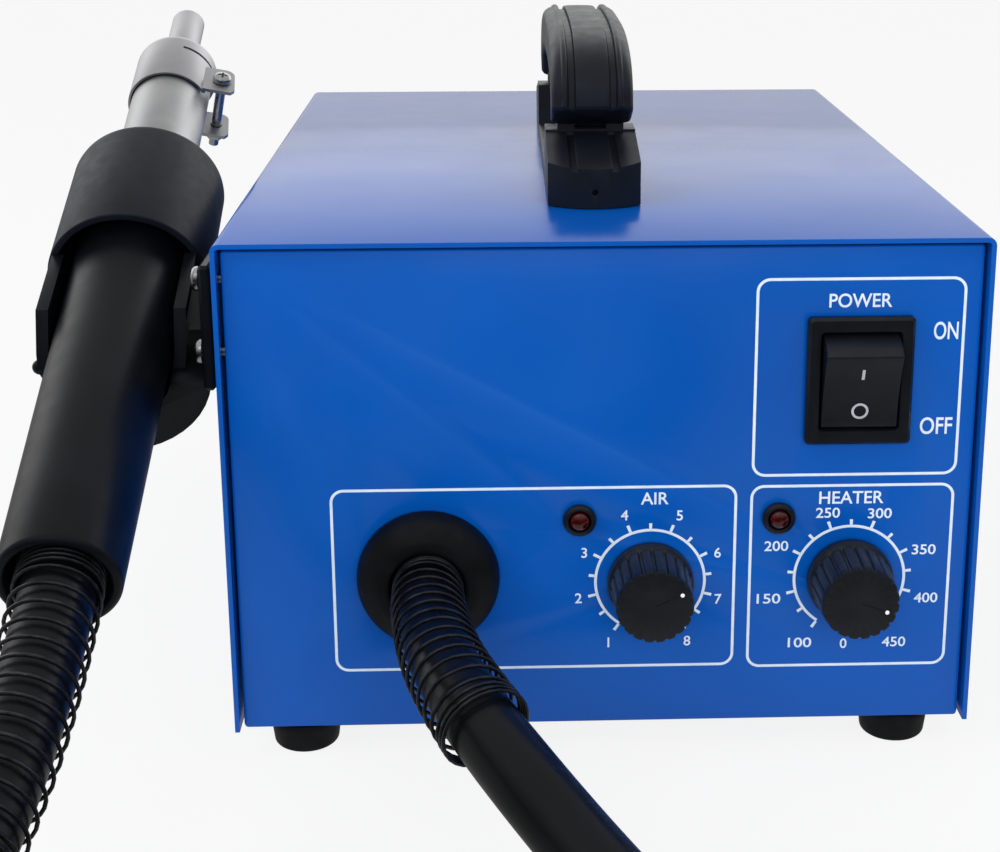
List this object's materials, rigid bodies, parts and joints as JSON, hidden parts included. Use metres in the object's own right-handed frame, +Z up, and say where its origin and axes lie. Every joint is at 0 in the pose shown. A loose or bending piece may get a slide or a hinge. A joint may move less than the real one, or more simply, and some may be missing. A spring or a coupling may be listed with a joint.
{
  "type": "hot air rework station",
  "caption": "Hot air rework station: steel case with rocker switch, two dials and carrying handle, hose and nozzle handpiece in a side holder.",
  "frame": {"origin": "bench surface under the middle of the rigid parts' bounding box", "axes": "+Z up, front panel faces -Y, holder and handpiece on the -X side"},
  "size_m": [0.2386, 0.5622, 0.177],
  "materials": {
    "blue_paint": "gloss",
    "black_plastic": "satin",
    "dark_grey_plastic": "satin",
    "black_rubber": "matte",
    "black_silicone": "satin",
    "black_spring_steel": "satin",
    "stainless_steel": "satin",
    "zinc_steel": "bright",
    "dark_steel": "satin",
    "red_lens": "gloss",
    "heater_ceramic": "matte",
    "circuit_board": "satin",
    "pump_housing": "matte"
  },
  "bodies": {
    "station": {"cover": "blue_paint", "chassis": "blue_paint", "cover_screw_left_front": "zinc_steel", "cover_screw_left_rear": "zinc_steel", "cover_screw_right_front": "zinc_steel", "cover_screw_right_rear": "zinc_steel", "foot_left_front": "black_rubber", "foot_left_rear": "black_rubber", "foot_right_front": "black_rubber", "foot_right_rear": "black_rubber", "handle_base": "dark_grey_plastic", "handle_grip": "dark_grey_plastic", "power_switch_body": "black_plastic", "heater_potentiometer": "dark_steel", "air_potentiometer": "dark_steel", "control_board": "circuit_board", "heater_lamp_bezel": "black_plastic", "air_lamp_bezel": "black_plastic", "heater_lamp": "red_lens", "air_lamp": "red_lens", "hose_grommet": "black_rubber", "station_spring": "black_spring_steel", "hose": "black_silicone", "holder": "black_plastic", "holder_screw_upper": "zinc_steel", "holder_screw_lower": "zinc_steel", "transformer": "dark_steel", "air_pump": "pump_housing", "mains_inlet": "black_plastic", "fuse_holder": "black_plastic"},
    "rocker": {"power_rocker": "black_plastic"},
    "heater_dial": {"heater_knob": "black_plastic", "heater_shaft": "zinc_steel"},
    "air_dial": {"air_knob": "black_plastic", "air_shaft": "zinc_steel"},
    "handpiece": {"handpiece_handle": "black_plastic", "handpiece_collar": "black_plastic", "heater_barrel": "stainless_steel", "heater_core": "heater_ceramic", "handpiece_spring": "black_spring_steel"},
    "nozzle": {"nozzle": "stainless_steel", "clamp_nut": "zinc_steel"},
    "clamp_screw": {"clamp_screw": "zinc_steel"},
    "fuse_cap": {"fuse_cap": "black_plastic"}
  },
  "joints": [
    {"name": "power_rocker_pivot", "type": "hinge", "parent": "station", "child": "rocker", "pos_m": [0.08607, -0.09031, 0.0994], "axis": [-1, 0, 0], "range_deg": [0, 30]},
    {"name": "heater_dial_turn", "type": "hinge", "parent": "station", "child": "heater_dial", "pos_m": [0.08537, -0.09216, 0.0471], "axis": [0, 1, 0], "range_deg": [-259.7, 40.3]},
    {"name": "air_dial_turn", "type": "hinge", "parent": "station", "child": "air_dial", "pos_m": [0.03517, -0.09216, 0.0471], "axis": [0, 1, 0], "range_deg": [-215.1, 84.9]},
    {"name": "handpiece_lift", "type": "slide", "parent": "station", "child": "handpiece", "axis": [0.0094, -0.3737, 0.9275], "range_m": [0, 0.04], "deforming": ["hose"]},
    {"name": "nozzle_pull", "type": "slide", "parent": "handpiece", "child": "nozzle", "axis": [-0.0233, 0.9272, 0.3738], "range_m": [0, 0.022]},
    {"name": "clamp_screw_turn", "type": "hinge", "parent": "nozzle", "child": "clamp_screw", "pos_m": [-0.08425, 0.03128, 0.15632], "axis": [0.217, -0.3603, 0.9072], "range_deg": [-360, 0]},
    {"name": "fuse_cap_turn", "type": "hinge", "parent": "station", "child": "fuse_cap", "pos_m": [0.07557, 0.14989, 0.079], "axis": [0, 1, 0], "range_deg": [0, 90]}
  ]
}
